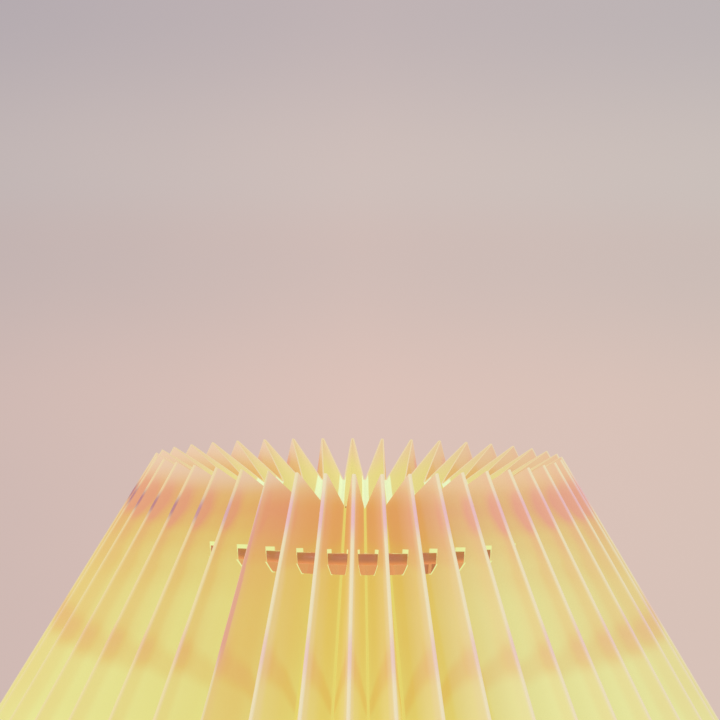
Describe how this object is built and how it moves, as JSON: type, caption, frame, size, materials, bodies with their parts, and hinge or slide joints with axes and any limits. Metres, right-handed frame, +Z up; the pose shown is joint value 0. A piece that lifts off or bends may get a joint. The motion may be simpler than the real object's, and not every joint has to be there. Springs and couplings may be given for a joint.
{
  "type": "table lamp",
  "caption": "Table lamp with a conical pleated translucent shade hung on a wire ring, a screw-in globe bulb and a round glazed ceramic body.",
  "frame": {"origin": "on the table under the lamp's axis, at the middle of the felt pad's underside", "axes": "+Z up along the lamp's axis, -Y to the front as pictured, +Y to the cord inlet"},
  "size_m": [0.3006, 0.3006, 0.3575],
  "materials": {
    "sheet": "translucent pleated sheet with a slight gloss",
    "carrier_wire": "brown paint",
    "holder_shell": "moulded",
    "bulb_globe": "frosted",
    "bulb_housing": "moulded",
    "diode_board": "white lacquer",
    "bulb_metal": "bright",
    "bulb_insulator": "black",
    "contact_brass": "plain",
    "zinc_steel": "zinc plated",
    "insert_porcelain": "unglazed",
    "neck_brass": "aged satin",
    "body_glaze": "glossy glaze",
    "bushing": "moulded",
    "cover_board": "fibre board",
    "felt": "felt"
  },
  "bodies": {
    "base": {"holder_skirt": "holder_shell", "screw_sleeve": "contact_brass", "centre_contact": "contact_brass", "side_contact": "contact_brass", "terminal_screws": "zinc_steel", "holder_insert": "insert_porcelain", "holder_cap": "holder_shell", "neck_collar": "neck_brass", "neck_cap": "neck_brass", "stem_tube": "zinc_steel", "ceramic_body": "body_glaze", "foot_washer": "zinc_steel", "foot_nut": "zinc_steel", "cord_bushing": "bushing", "bottom_cover": "cover_board", "felt_pad": "felt"},
    "shade": {"shade_sheet": "sheet", "carrier_ring": "carrier_wire", "carrier_arms": "carrier_wire", "carrier_hub": "carrier_wire"},
    "clamp_ring": {"retaining_ring": "holder_shell"},
    "bulb": {"bulb_globe": "bulb_globe", "bulb_housing": "bulb_housing", "diode_board": "diode_board", "bulb_cap": "bulb_metal", "bulb_insulator": "bulb_insulator", "bulb_tip": "bulb_metal"}
  },
  "joints": [
    {"name": "shade_turn", "type": "hinge", "parent": "base", "child": "shade", "pos_m": [0, 0, 0.2281], "axis": [0, 0, 1], "continuous": true},
    {"name": "ring_unscrew", "type": "hinge", "parent": "base", "child": "clamp_ring", "pos_m": [0, 0, 0.2297], "axis": [0, 0, 1], "range_deg": [0, 720]},
    {"name": "bulb_unscrew", "type": "hinge", "parent": "base", "child": "bulb", "pos_m": [0, 0, 0.2281], "axis": [0, 0, 1], "range_deg": [0, 900]}
  ]
}
